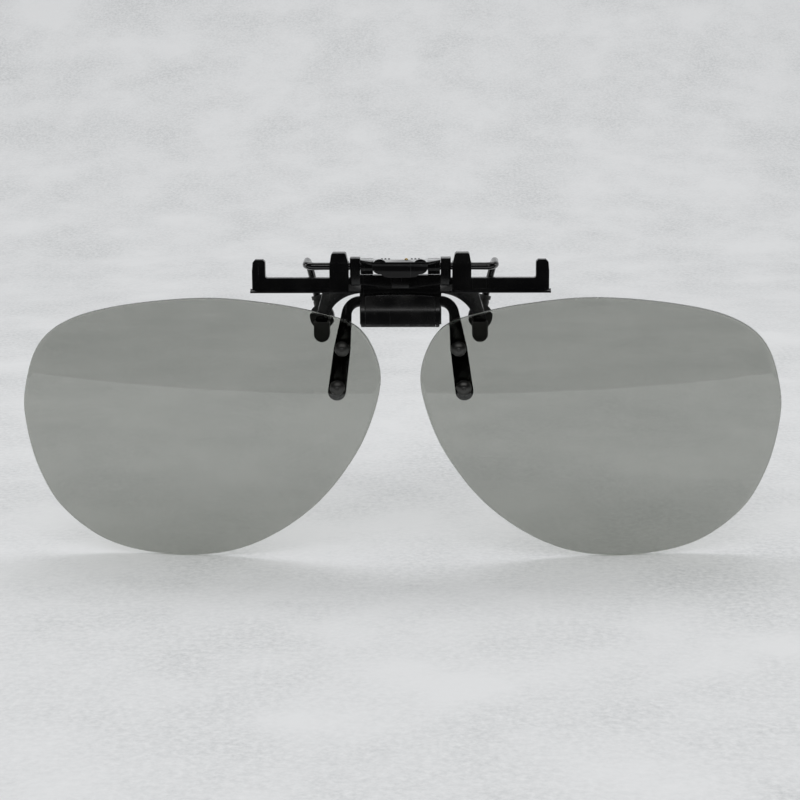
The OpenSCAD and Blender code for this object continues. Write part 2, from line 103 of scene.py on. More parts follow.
class Nodes:
    """A node tree, with short ways to add and join its nodes."""

    def __init__(self, tree: bpy.types.NodeTree) -> None:
        """Keeps the tree.

        Args:
            tree: The node tree to build in.
        """
        self.tree = tree

    def add(self, kind: str, **settings: object) -> bpy.types.Node:
        """Adds a node.

        Args:
            kind: The node's type, such as ShaderNodeMath.
            **settings: Properties to set on the node.

        Returns:
            The new node.
        """
        node = self.tree.nodes.new(kind)
        for name, value in settings.items():
            setattr(node, name, value)
        return node

    def feed(self, socket: bpy.types.NodeSocket, value: object) -> None:
        """Links a socket to an output, or sets it to a plain value.

        Args:
            socket: The input to feed.
            value: An output socket, a number, a vector or a colour.
        """
        if isinstance(value, bpy.types.NodeSocket):
            self.tree.links.new(value, socket)
        elif socket.type == "RGBA" and len(value) == 3:
            socket.default_value = (*value, 1.0)
        else:
            socket.default_value = value

    def math(self, operation: str, a: object, b: object = 0.0) -> bpy.types.NodeSocket:
        """Joins two numbers.

        Args:
            operation: The Math node's operation.
            a: The first number or output.
            b: The second number or output.

        Returns:
            The result's socket.
        """
        node = self.add("ShaderNodeMath", operation=operation)
        self.feed(node.inputs[0], a)
        self.feed(node.inputs[1], b)
        return node.outputs[0]

    def ramp(self, value: object, low: float, high: float, to_low: float = 0.0,
             to_high: float = 1.0) -> bpy.types.NodeSocket:
        """Maps a range of a value onto another range, and stops at its ends.

        Args:
            value: The output to map.
            low: The value that becomes to_low.
            high: The value that becomes to_high.
            to_low: The result at low.
            to_high: The result at high.

        Returns:
            The result's socket.
        """
        node = self.add("ShaderNodeMapRange", clamp=True)
        for name, number in (("Value", value), ("From Min", low), ("From Max", high),
                             ("To Min", to_low), ("To Max", to_high)):
            self.feed(node.inputs[name], number)
        return node.outputs["Result"]

    def mix(self, share: object, a: object, b: object) -> bpy.types.NodeSocket:
        """Mixes two colours.

        Args:
            share: How much of b, from 0 to 1.
            a: The first colour.
            b: The second colour.

        Returns:
            The mixed colour's socket.
        """
        node = self.add("ShaderNodeMix", data_type="RGBA", clamp_factor=True)
        self.feed(node.inputs[0], share)
        self.feed(node.inputs[6], a)
        self.feed(node.inputs[7], b)
        return node.outputs[2]

    def noise(self, where: object, scale: object, detail: float = 3.0,
              rough: float = 0.55) -> bpy.types.NodeSocket:
        """Adds a noise pattern.

        Args:
            where: The coordinates to read.
            scale: Features in each metre.
            detail: Layers of finer noise.
            rough: How strong the finer layers are.

        Returns:
            The pattern's value socket.
        """
        node = self.add("ShaderNodeTexNoise")
        self.feed(node.inputs["Vector"], where)
        self.feed(node.inputs["Scale"], scale)
        self.feed(node.inputs["Detail"], detail)
        self.feed(node.inputs["Roughness"], rough)
        return node.outputs[0]

    def cells(self, where: object, scale: object) -> bpy.types.NodeSocket:
        """Adds a pattern of cells.

        Args:
            where: The coordinates to read.
            scale: Cells in each metre.

        Returns:
            The distance to the nearest cell's centre.
        """
        node = self.add("ShaderNodeTexVoronoi")
        self.feed(node.inputs["Vector"], where)
        self.feed(node.inputs["Scale"], scale)
        return node.outputs["Distance"]


class Effect(Enum):
    """The surface effects that several finishes share."""

    GRAIN = "Surface grain"
    # Lighter patches along edges: real scuffs that also serve as painted highlights on the edges.
    WEAR_AND_HIGHLIGHT = "Edge wear"
    DUST = "Settled dust"
    SMUDGE = "Smudges and scratches"


class Effects:
    """Builds each shared effect once, as a node group."""

    def __init__(self) -> None:
        """Builds the four groups."""
        self.groups = {
            Effect.GRAIN: self._grain(),
            Effect.WEAR_AND_HIGHLIGHT: self._wear_and_highlight(),
            Effect.DUST: self._dust(),
            Effect.SMUDGE: self._smudge(),
        }

    @staticmethod
    def _start(effect: Effect, inputs: Sequence[tuple[str, str, float]],
               outputs: Sequence[tuple[str, str]]) -> tuple[Nodes, dict, dict]:
        """Starts a group with its named sockets.

        Args:
            effect: Which effect it is.
            inputs: Each input's name, socket type and default.
            outputs: Each output's name and socket type.

        Returns:
            The group's nodes, its inputs by name, and its output sockets by name.
        """
        tree = bpy.data.node_groups.new(effect.value, "ShaderNodeTree")
        for name, kind, default in inputs:
            socket = tree.interface.new_socket(name, in_out="INPUT", socket_type=kind)
            if kind == "NodeSocketFloat":
                socket.default_value = default
        for name, kind in outputs:
            tree.interface.new_socket(name, in_out="OUTPUT", socket_type=kind)
        nodes = Nodes(tree)
        entry, exit_ = nodes.add("NodeGroupInput"), nodes.add("NodeGroupOutput")
        return (
            nodes,
            {name: entry.outputs[name] for name, _, _ in inputs},
            {name: exit_.inputs[name] for name, _ in outputs},
        )

    def _grain(self) -> bpy.types.NodeTree:
        """Fine moulded or cast grain.

        Returns:
            The group's node tree.
        """
        nodes, given, out = self._start(
            Effect.GRAIN,
            (("Vector", "NodeSocketVector", 0), ("Scale", "NodeSocketFloat", 5000),
             ("Depth", "NodeSocketFloat", 0.3)),
            (("Value", "NodeSocketFloat"), ("Normal", "NodeSocketVector")),
        )
        pits = nodes.cells(given["Vector"], given["Scale"])
        soft = nodes.noise(given["Vector"], nodes.math("MULTIPLY", given["Scale"], 0.45))
        height = nodes.math("ADD", nodes.math("MULTIPLY", pits, 0.5), soft)
        bump = nodes.add("ShaderNodeBump")
        nodes.feed(bump.inputs["Height"], height)
        nodes.feed(bump.inputs["Strength"], given["Depth"])
        nodes.feed(bump.inputs["Distance"], 0.02 * MM)
        nodes.feed(out["Value"], height)
        nodes.feed(out["Normal"], bump.outputs["Normal"])
        return nodes.tree

    def _wear_and_highlight(self) -> bpy.types.NodeTree:
        """Lighter scuffed spots along the softened edges, which also paint highlights along them.

        Returns:
            The group's node tree.
        """
        nodes, given, out = self._start(
            Effect.WEAR_AND_HIGHLIGHT,
            (("Vector", "NodeSocketVector", 0), ("Amount", "NodeSocketFloat", 0.5)),
            (("Mask", "NodeSocketFloat"),),
        )
        edge = nodes.add("ShaderNodeAttribute", attribute_name="edge")
        patches = nodes.ramp(nodes.noise(given["Vector"], 900.0, 4.0), 0.42, 0.66)
        mask = nodes.math("MULTIPLY", edge.outputs["Fac"], patches)
        nodes.feed(out["Mask"], nodes.math("MULTIPLY", mask, given["Amount"]))
        return nodes.tree

    def _dust(self) -> bpy.types.NodeTree:
        """Specks of dust, thicker on what faces up.

        Returns:
            The group's node tree.
        """
        nodes, given, out = self._start(
            Effect.DUST,
            (("Vector", "NodeSocketVector", 0), ("Amount", "NodeSocketFloat", 0.5)),
            (("Mask", "NodeSocketFloat"),),
        )
        facing = nodes.add("ShaderNodeSeparateXYZ")
        nodes.feed(facing.inputs[0], nodes.add("ShaderNodeNewGeometry").outputs["Normal"])
        upward = nodes.ramp(facing.outputs["Z"], -0.1, 1.0, 0.35, 1.0)
        specks = nodes.ramp(nodes.cells(given["Vector"], 1300.0), 0.05, 0.11, 1.0, 0.0)
        sparse = nodes.ramp(nodes.noise(given["Vector"], 520.0, 2.0), 0.52, 0.68)
        haze = nodes.ramp(nodes.noise(given["Vector"], 260.0, 4.0), 0.45, 0.8, 0.0, 0.25)
        both = nodes.math("MAXIMUM", nodes.math("MULTIPLY", specks, sparse), haze)
        mask = nodes.math("MULTIPLY", nodes.math("MULTIPLY", both, upward), given["Amount"])
        nodes.feed(out["Mask"], mask)
        return nodes.tree

    def _smudge(self) -> bpy.types.NodeTree:
        """Roughness that varies with handling marks and hairline scratches.

        Returns:
            The group's node tree.
        """
        nodes, given, out = self._start(
            Effect.SMUDGE,
            (("Vector", "NodeSocketVector", 0), ("Low", "NodeSocketFloat", 0.2),
             ("High", "NodeSocketFloat", 0.4), ("Scratches", "NodeSocketFloat", 0.1)),
            (("Roughness", "NodeSocketFloat"), ("Scratch", "NodeSocketFloat")),
        )
        blotch = nodes.ramp(nodes.noise(given["Vector"], 240.0, 5.0, 0.6), 0.35, 0.7)
        spread = nodes.math("SUBTRACT", given["High"], given["Low"])
        base = nodes.math("ADD", given["Low"], nodes.math("MULTIPLY", spread, blotch))
        lines = []
        for turn, stretch in ((0.6, 40.0), (-0.9, 55.0)):
            place = nodes.add("ShaderNodeMapping")
            nodes.feed(place.inputs["Vector"], given["Vector"])
            nodes.feed(place.inputs["Rotation"], (0.2, turn, 0.3))
            nodes.feed(place.inputs["Scale"], (stretch, stretch, 1.0))
            lines.append(nodes.ramp(nodes.noise(place.outputs[0], 90.0, 1.0), 0.73, 0.76))
        scratch = nodes.math("MULTIPLY", nodes.math("MAXIMUM", *lines), given["Scratches"])
        nodes.feed(out["Roughness"], nodes.math("ADD", base, nodes.math("MULTIPLY", scratch, 0.4)))
        nodes.feed(out["Scratch"], scratch)
        return nodes.tree


@dataclass(frozen=True)
class Finish:
    """An opaque finish: colour, gloss, grain, scuffed edges that also carry painted highlights, and dust."""

    name: str
    slot: str
    colour: Colour
    # Lighter colour of scuffs and scratches; along edges it also paints the highlights.
    worn_and_highlight: Colour
    low: float
    high: float
    metallic: float = 0.0
    specular: float = 0.5
    coat: float = 0.0
    coat_rough: float = 0.08
    grain: float = 5200.0
    depth: float = 0.25
    # How strong the edge scuffs are, and with them the painted edge highlights.
    wear_and_highlight: float = 0.5
    dust: float = 0.2
    scratches: float = 0.2
    shade: float = 0.25

    def material(self, effects: Effects) -> bpy.types.Material:
        """Builds the finish's material.

        Args:
            effects: The shared effect groups.

        Returns:
            The material.
        """
        made = bpy.data.materials.new(self.name)
        made.use_nodes = True
        made.node_tree.nodes.clear()
        nodes = Nodes(made.node_tree)
        where = nodes.add("ShaderNodeTexCoord").outputs["Object"]

        def placed(effect: Effect, **values: float) -> bpy.types.Node:
            """Adds one effect with its own values.

            Args:
                effect: Which effect.
                **values: The group's inputs.

            Returns:
                The group node.
            """
            node = nodes.add("ShaderNodeGroup", node_tree=effects.groups[effect])
            nodes.feed(node.inputs["Vector"], where)
            for name, value in values.items():
                nodes.feed(node.inputs[name], value)
            return node

        grain = placed(Effect.GRAIN, Scale=self.grain, Depth=self.depth)
        wear_and_highlight = placed(Effect.WEAR_AND_HIGHLIGHT, Amount=self.wear_and_highlight)
        dust = placed(Effect.DUST, Amount=self.dust)
        marks = placed(Effect.SMUDGE, Low=self.low, High=self.high, Scratches=self.scratches)
        tone = nodes.ramp(grain.outputs["Value"], 0.3, 1.0, 1.0 - self.shade, 1.0 + self.shade)
        plain = nodes.mix(tone, tuple(GRAIN_SHADE * c for c in self.colour), self.colour)
        # Edge faces take the lighter colour in patches: scuffs, and painted highlights along the edges.
        rubbed_and_highlit = nodes.mix(wear_and_highlight.outputs["Mask"], plain, self.worn_and_highlight)
        lined = nodes.mix(marks.outputs["Scratch"], rubbed_and_highlit, self.worn_and_highlight)
        dusty = nodes.mix(dust.outputs["Mask"], lined, DUST_COLOUR)
        surface = nodes.add("ShaderNodeBsdfPrincipled")
        nodes.feed(surface.inputs["Base Color"], dusty)
        nodes.feed(surface.inputs["Roughness"], marks.outputs["Roughness"])
        nodes.feed(surface.inputs["Metallic"], self.metallic)
        nodes.feed(surface.inputs["Specular IOR Level"], self.specular)
        nodes.feed(surface.inputs["Coat Weight"], self.coat)
        nodes.feed(surface.inputs["Coat Roughness"], self.coat_rough)
        nodes.feed(surface.inputs["Normal"], grain.outputs["Normal"])
        end = nodes.add("ShaderNodeOutputMaterial")
        nodes.feed(end.inputs["Surface"], surface.outputs["BSDF"])
        return made


@dataclass(frozen=True)
class LensGlass:
    """The smoke-grey lens, or its ground edge, with faint dust and hairline scratches."""

    name: str
    tint: Colour
    shadow: Colour
    low: float
    high: float
    scratches: float
    bump: float

    def material(self, effects: Effects) -> bpy.types.Material:
        """Builds the see-through material.

        Args:
            effects: The shared effect groups.

        Returns:
            The material.
        """
        made = bpy.data.materials.new(self.name)
        made.use_nodes = True
        made.node_tree.nodes.clear()
        nodes = Nodes(made.node_tree)
        where = nodes.add("ShaderNodeTexCoord").outputs["Object"]
        marks = nodes.add("ShaderNodeGroup", node_tree=effects.groups[Effect.SMUDGE])
        specks = nodes.add("ShaderNodeGroup", node_tree=effects.groups[Effect.DUST])
        grain = nodes.add("ShaderNodeGroup", node_tree=effects.groups[Effect.GRAIN])
        for group in (marks, specks, grain):
            nodes.feed(group.inputs["Vector"], where)
        nodes.feed(marks.inputs["Low"], self.low)
        nodes.feed(marks.inputs["High"], self.high)
        nodes.feed(marks.inputs["Scratches"], self.scratches)
        nodes.feed(specks.inputs["Amount"], 0.8)
        nodes.feed(grain.inputs["Scale"], 2600.0)
        nodes.feed(grain.inputs["Depth"], self.bump)
        tint = nodes.mix(specks.outputs["Mask"], self.tint, DUST_ON_GLASS)
        glass = nodes.add("ShaderNodeBsdfPrincipled")
        nodes.feed(glass.inputs["Base Color"], tint)
        nodes.feed(glass.inputs["Roughness"], marks.outputs["Roughness"])
        nodes.feed(glass.inputs["IOR"], 1.5)
        nodes.feed(glass.inputs["Transmission Weight"], 1.0)
        nodes.feed(glass.inputs["Normal"], grain.outputs["Normal"])
        clear = nodes.add("ShaderNodeBsdfTransparent")
        nodes.feed(clear.inputs["Color"], self.shadow)
        path = nodes.add("ShaderNodeLightPath")
        either = nodes.add("ShaderNodeMixShader")
        nodes.feed(either.inputs[0], path.outputs["Is Shadow Ray"])
        nodes.feed(either.inputs[1], glass.outputs["BSDF"])
        nodes.feed(either.inputs[2], clear.outputs["BSDF"])
        end = nodes.add("ShaderNodeOutputMaterial")
        nodes.feed(end.inputs["Surface"], either.outputs["Shader"])
        return made


MOULDED = Finish("Moulded black plastic", "black_plastic", (0.003, 0.003, 0.0032),
                 (0.035, 0.035, 0.036), 0.16, 0.26, specular=0.38, depth=0.12, wear_and_highlight=0.5,
                 dust=0.07)
HINGE_PLASTIC = Finish("Matt hinge plastic", "black_plastic", (0.0036, 0.0036, 0.0038),
                       (0.045, 0.045, 0.046), 0.2, 0.32, specular=0.25, grain=4200.0,
                       depth=0.22, wear_and_highlight=0.7, dust=0.12)
LACQUER = Finish("Black lacquered steel", "black_metal", (0.003, 0.003, 0.0032),
                 (0.09, 0.09, 0.092), 0.1, 0.2, coat=0.5, grain=3000.0, depth=0.04,
                 wear_and_highlight=0.35, dust=0.05, scratches=0.3)
LEVER_LACQUER = Finish("Gloss lever lacquer", "dark_grey_metal", (0.004, 0.004, 0.0042),
                       (0.12, 0.12, 0.12), 0.1, 0.18, specular=0.22, grain=3400.0,
                       depth=0.04, wear_and_highlight=0.5, dust=0.05, scratches=0.2)
# Upward faces of the lever: a lighter, fully coated copy of the lever lacquer; the coat is gloss, the
# lighter colour is painted sheen for the light on its top.
LEVER_TOP_SHEEN = Finish("Lever top with painted sheen", "dark_grey_metal", (0.012, 0.012, 0.012),
                   (0.2, 0.2, 0.2), 0.06, 0.12, coat=1.0, coat_rough=0.05, grain=3400.0,
                   depth=0.03, wear_and_highlight=0.6, dust=0.05, scratches=0.25)
GUNMETAL = Finish("Brushed gunmetal", "gunmetal", (0.075, 0.075, 0.072), (0.15, 0.15, 0.145),
                  0.36, 0.5, metallic=1.0, grain=2600.0, depth=0.1, wear_and_highlight=0.5, dust=0.06)
SPRING_STEEL = Finish("Blackened spring steel", "spring_steel", (0.05, 0.05, 0.052),
                      (0.35, 0.35, 0.36), 0.24, 0.36, metallic=1.0, grain=6000.0, depth=0.1)
BRASS = Finish("Turned brass", "dark_grey_metal", (0.75, 0.55, 0.25), (0.85, 0.7, 0.45),
               0.2, 0.3, metallic=1.0, grain=4000.0, depth=0.06, wear_and_highlight=0.6, dust=0.05)
RUBBER = Finish("Soft silicone rubber", "soft_rubber", (0.042, 0.042, 0.041),
                (0.06, 0.06, 0.06), 0.42, 0.58, specular=0.4, grain=3600.0, depth=0.35,
                wear_and_highlight=0.4, dust=0.2)
WASHER_PLASTIC = Finish("Black washer plastic", "black_washer", (0.008, 0.008, 0.0082),
                        (0.05, 0.05, 0.051), 0.35, 0.5, grain=4800.0, depth=0.2)
NYLON = Finish("Natural nylon", "nylon", (0.62, 0.6, 0.54), (0.8, 0.78, 0.72), 0.4, 0.55,
               grain=4200.0, depth=0.25, wear_and_highlight=0.3, dust=0.1)
SMOKE = LensGlass("Smoke grey lens", (0.405, 0.415, 0.385), (0.5, 0.51, 0.48), 0.0, 0.012,
                  0.12, 0.0)
GROUND_EDGE = LensGlass("Ground lens edge", (0.3, 0.31, 0.285), (0.4, 0.41, 0.38), 0.22, 0.4,
                        0.2, 0.5)

OPAQUE = (MOULDED, HINGE_PLASTIC, LACQUER, LEVER_LACQUER, LEVER_TOP_SHEEN, GUNMETAL, SPRING_STEEL,
          BRASS, RUBBER, WASHER_PLASTIC, NYLON)


class Paints:
    """Every finish as a material, made once."""

    def __init__(self) -> None:
        """Builds the effects and every material."""
        effects = Effects()
        self.made = {look.name: look.material(effects) for look in (*OPAQUE, SMOKE, GROUND_EDGE)}

    def of(self, look: Finish | LensGlass) -> bpy.types.Material:
        """The material of a finish."""
        return self.made[look.name]


# ---------------------------------------------------------------- mesh helpers


def finish_piece(mesh: bmesh.types.BMesh, name: str, paints: Paints,
                 looks: Sequence[Finish | LensGlass], body: Body | None,
                 nodes: Iterable[str] = (), slot: str | None = None,
                 sharp: float = 40.0) -> bpy.types.Object:
    """Turns a mesh into a dressed piece that rides on a body.

    Args:
        mesh: The finished mesh, which is freed.
        name: The piece's name.
        paints: Every material.
        looks: The finishes of the mesh's material numbers, in order.
        body: The body that the piece rides on, or None where it bends between two.
        nodes: CAD nodes that the piece stands for.
        slot: The record's material slot, if not the first finish's own; not used.
        sharp: Edges over this angle in degrees stay sharp when shaded.

    Returns:
        The new object.
    """
    data = bpy.data.meshes.new(name)
    for face in mesh.faces:
        face.smooth = True
    mesh.to_mesh(data)
    mesh.free()
    data.set_sharp_from_angle(angle=math.radians(sharp))
    for look in looks:
        data.materials.append(paints.of(look))
    piece = bpy.data.objects.new(name, data)
    bpy.context.scene.collection.objects.link(piece)
    if nodes:
        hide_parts(*nodes)
    slot or getattr(looks[0], "slot", "tinted_lens")
    if body:
        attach(piece, body.value)
    LOG.info("%s: %d faces, %s, on %s", name, len(data.polygons), looks[0].name,
             body.value if body else "two bodies")
    return piece


def new_mesh() -> bmesh.types.BMesh:
    """Starts an empty mesh that can hold the marks along its edges.

    Returns:
        The new mesh.
    """
    mesh = bmesh.new()
    mesh.faces.layers.float.new("edge")
    return mesh


def mark_edges(mesh: bmesh.types.BMesh, faces: Iterable[bmesh.types.BMFace]) -> None:
    """Marks faces as lying along an edge, for the edge scuffs and painted edge highlights to read.

    Args:
        mesh: The mesh that holds the faces.
        faces: The faces along its edges.
    """
    layer = mesh.faces.layers.float["edge"]
    for face in faces:
        face[layer] = 1.0


def soften(mesh: bmesh.types.BMesh, width: float, angle: float = 32.0,
           segments: int = 2) -> None:
    """Rounds the sharp edges of a mesh and marks the new faces.

    Args:
        mesh: The mesh to change.
        width: How far the rounding reaches from the edge, in metres.
        angle: Edges over this angle in degrees are rounded.
        segments: Steps across the rounding.
    """
    limit = math.radians(angle)
    edges = [e for e in mesh.edges if e.is_manifold and e.calc_face_angle(0.0) > limit]
    if not edges:
        return
    made = bmesh.ops.bevel(mesh, geom=edges, offset=width, offset_type="OFFSET",
                           affect="EDGES", segments=segments, profile=0.5, material=-1,
                           clamp_overlap=True, loop_slide=True)
    # The new faces carry the edge scuffs and the painted edge highlights.
    mark_edges(mesh, made["faces"])


def copy_of_node(node: str, join: float = 0.002 * MM) -> bmesh.types.BMesh:
    """Copies a CAD node's mesh with its loose triangles joined into flat faces.

    Args:
        node: The node's name.
        join: Corners closer than this become one, in metres.

    Returns:
        The new mesh.
    """
    mesh = bmesh.new()
    mesh.from_mesh(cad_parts[node].data)
    mesh.faces.layers.float.new("edge")
    for layer in list(mesh.loops.layers.uv):
        mesh.loops.layers.uv.remove(layer)
    bmesh.ops.remove_doubles(mesh, verts=mesh.verts, dist=join)
    bmesh.ops.dissolve_degenerate(mesh, dist=join, edges=mesh.edges)
    bmesh.ops.dissolve_limit(mesh, angle_limit=math.radians(0.6), verts=mesh.verts,
                             edges=mesh.edges)
    for face in mesh.faces:
        face.material_index = 0
    return mesh


def middle_of(node: str) -> Vector:
    """The middle of a CAD node's box.

    Args:
        node: The node's name.

    Returns:
        The middle, in metres.
    """
    low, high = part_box(node)
    return (Vector(low) + Vector(high)) / 2


def turned(profile: Sequence[tuple[float, float]], centre: Vector,
           steps: int = 48) -> bmesh.types.BMesh:
    """Turns a profile about a line along Y.

    Args:
        profile: Distance from the line and depth along Y, in mm, in order.
        centre: A point on the line, in metres, with its Y not used.
        steps: Steps round the full turn.

    Returns:
        The turned mesh.
    """
    mesh = new_mesh()
    line = [mesh.verts.new((centre.x + r * MM, y * MM, centre.z)) for r, y in profile]
    edges = [mesh.edges.new(pair) for pair in zip(line, line[1:])]
    bmesh.ops.spin(mesh, geom=[*line, *edges], cent=(centre.x, 0, centre.z),
                   axis=(0, 1, 0), angle=2 * math.pi, steps=steps, use_merge=True)
    bmesh.ops.remove_doubles(mesh, verts=mesh.verts, dist=0.0005 * MM)
    bmesh.ops.recalc_face_normals(mesh, faces=mesh.faces)
    return mesh


# ---------------------------------------------------------------- the clip's fixed part


@dataclass
class FixedPart:
    """The moulded crossbar, the hinge housing, the boots and the springs."""

    paints: Paints
    bar_edge: float = 0.09
    cover_edge: float = 0.16
    cap_edge: float = 0.1
    boot_edge: float = 0.34
    coil_radius: float = 1.22
    coil_wire: float = 0.19
    coil_pitch: float = 0.62
    coil_turns: float = 2.45
    coil_start: float = 1.86
    coil_lead: float = 154.0
    coil_sides: int = 14
    coil_steps: int = 32
    lever_leg: Place = (0.0, -1.7, -0.05)
    wall_leg: Place = (0.0, -0.25, -0.08)
    leaf_edge: float = 0.03
    pivot_y: float = -3.4
    pivot_z: float = 11.0

    def build(self) -> None:
        """Builds every fixed piece."""
        self._moulding()
        self._housing()
        for side in Side:
            self._boot(side)
            self._spring(side)
        self._leaf()

    def _moulding(self) -> None:
        """The crossbar with its supports and legs, in one moulding."""
        mesh = copy_of_node("bridge_frame")
        soften(mesh, self.bar_edge * MM)
        finish_piece(mesh, "crossbar_moulding", self.paints, (MOULDED,), Body.CLIP,
                     ("bridge_frame",))

    def _housing(self) -> None:
        """The hinge's cover and its two end caps."""
        mesh = copy_of_node("hinge_cover")
        soften(mesh, self.cover_edge * MM, angle=20.0, segments=3)
        finish_piece(mesh, "hinge_shell", self.paints, (HINGE_PLASTIC,), Body.CLIP,
                     ("hinge_cover",))
        for side in Side:
            mesh = copy_of_node(f"housing_cap_{side.word}")
            soften(mesh, self.cap_edge * MM, angle=20.0)
            finish_piece(mesh, f"hinge_end_{side.word}", self.paints, (MOULDED,), Body.CLIP,
                         (f"housing_cap_{side.word}",))

    def _boot(self, side: Side) -> None:
        """A soft boot on one leg.

        Args:
            side: Which leg.
        """
        mesh = copy_of_node(f"leg_boot_{side.word}")
        soften(mesh, self.boot_edge * MM, segments=4)
        finish_piece(mesh, f"soft_boot_{side.word}", self.paints, (RUBBER,), Body.CLIP,
                     (f"leg_boot_{side.word}",))

    def _spring(self, side: Side) -> None:
        """An open-wound torsion spring round the clamp wire, which winds with the lever.

        Args:
            side: Which spring.
        """
        mesh = new_mesh()
        axis = Vector((0, self.pivot_y * MM, self.pivot_z * MM))
        lead = math.radians(self.coil_lead)
        spoke = Vector((0, math.cos(lead), math.sin(lead)))
        ring = bmesh.ops.create_circle(mesh, segments=self.coil_sides,
                                       radius=self.coil_wire * MM)["verts"]
        start = axis + self.coil_radius * MM * spoke + Vector((self.coil_start * MM, 0, 0))
        facing = spoke.cross(Vector((1, 0, 0))).to_track_quat("Z", "X").to_matrix().to_4x4()
        bmesh.ops.transform(mesh, matrix=Matrix.Translation(start) @ facing, verts=ring)
        loop = list({e for v in ring for e in v.link_edges})
        steps = int(self.coil_turns * self.coil_steps)
        pitch = self.coil_pitch * MM
        end = bmesh.ops.spin(mesh, geom=[*ring, *loop], cent=axis, axis=(-1, 0, 0),
                             dvec=(pitch * self.coil_turns / steps, 0, 0),
                             angle=2 * math.pi * self.coil_turns, steps=steps)["geom_last"]
        self._leg(mesh, loop, Vector(self.lever_leg))
        self._leg(mesh, [g for g in end if isinstance(g, bmesh.types.BMEdge)],
                  Vector(self.wall_leg))
        if side is Side.LEFT:
            bmesh.ops.scale(mesh, vec=(-1, 1, 1), verts=mesh.verts)
        bmesh.ops.recalc_face_normals(mesh, faces=mesh.faces)
        spring = finish_piece(mesh, f"coil_spring_{side.word}", self.paints, (SPRING_STEEL,),
                              None, (f"torsion_spring_{side.word}",))
        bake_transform(spring, Body.CLIP.value, Body.JAW.value, start=tuple(axis),
                 end=tuple(axis + Vector((0, -self.coil_radius * MM, 0))))

    @staticmethod
    def _leg(mesh: bmesh.types.BMesh, loop: Sequence[bmesh.types.BMEdge], way: Vector) -> None:
        """Runs a spring's end straight out and closes it.

        Args:
            mesh: The spring.
            loop: The edges round its open end.
            way: How far the leg runs, in mm.
        """
        run = bmesh.ops.extrude_edge_only(mesh, edges=list(loop))["geom"]
        verts = [g for g in run if isinstance(g, bmesh.types.BMVert)]
        edges = [g for g in run if isinstance(g, bmesh.types.BMEdge)
                 and all(v in verts for v in g.verts)]
        bmesh.ops.translate(mesh, vec=way * MM, verts=verts)
        bmesh.ops.contextual_create(mesh, geom=edges)

    def _leaf(self) -> None:
        """The hairpin leaf inside the hinge."""
        mesh = copy_of_node("detent_leaf_spring")
        soften(mesh, self.leaf_edge * MM)
        finish_piece(mesh, "hairpin_leaf", self.paints, (SPRING_STEEL,), Body.CLIP,
                     ("detent_leaf_spring",))


# ---------------------------------------------------------------- the flip-up part


